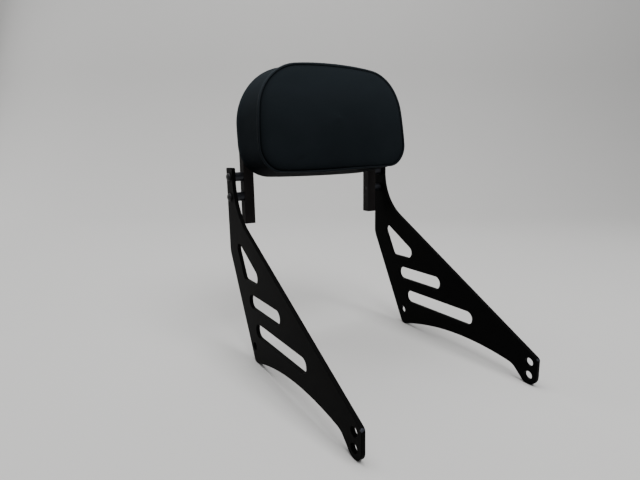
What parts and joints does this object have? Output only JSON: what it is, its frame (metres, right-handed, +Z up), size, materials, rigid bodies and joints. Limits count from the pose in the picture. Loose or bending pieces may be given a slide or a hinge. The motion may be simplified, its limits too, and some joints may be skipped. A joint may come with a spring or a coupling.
{
  "type": "motorcycle backrest",
  "caption": "Passenger backrest for a motorcycle: slotted black side plates bolt to the fender rails and carry a padded, piped back pad on short square legs",
  "frame": {"origin": "on the floor under the middle of the object's bounding box", "axes": "+Z up as it stands on its noses and rear feet, +Y to the rear of the motorcycle, X across it, left at -X for a seated rider"},
  "size_m": [0.2616, 0.3111, 0.3764],
  "materials": {
    "plate_paint": "satin black powder coat, chipped at the front tips",
    "leg_paint": "satin black paint",
    "screw_steel": "black oxide",
    "spacer_steel": "turned steel, blackened",
    "pad_screw_zinc": "zinc plated",
    "tee_nut_zinc": "zinc plated",
    "plywood": "raw plywood",
    "foam": "open-cell foam",
    "cover_leatherette": "matt grained leatherette",
    "piping": "matt leatherette piping",
    "back_fabric": "black lining"
  },
  "bodies": {
    "root": {"cover_back": "back_fabric", "cover_boxing": "cover_leatherette", "cover_face": "cover_leatherette", "cover_piping": "piping", "leg_left": "leg_paint", "leg_right": "leg_paint", "pad_board": "plywood", "pad_foam": "foam", "pad_screw_left_lower": "pad_screw_zinc", "pad_screw_left_upper": "pad_screw_zinc", "pad_screw_right_lower": "pad_screw_zinc", "pad_screw_right_upper": "pad_screw_zinc", "pad_washer_left_lower": "pad_screw_zinc", "pad_washer_left_upper": "pad_screw_zinc", "pad_washer_right_lower": "pad_screw_zinc", "pad_washer_right_upper": "pad_screw_zinc", "plate_screw_left_lower": "screw_steel", "plate_screw_left_upper": "screw_steel", "plate_screw_right_lower": "screw_steel", "plate_screw_right_upper": "screw_steel", "side_plate_left": "plate_paint", "side_plate_right": "plate_paint", "spacer_left_lower": "spacer_steel", "spacer_left_upper": "spacer_steel", "spacer_right_lower": "spacer_steel", "spacer_right_upper": "spacer_steel", "tee_nut_left_lower": "tee_nut_zinc", "tee_nut_left_upper": "tee_nut_zinc", "tee_nut_right_lower": "tee_nut_zinc", "tee_nut_right_upper": "tee_nut_zinc"}
  },
  "joints": []
}
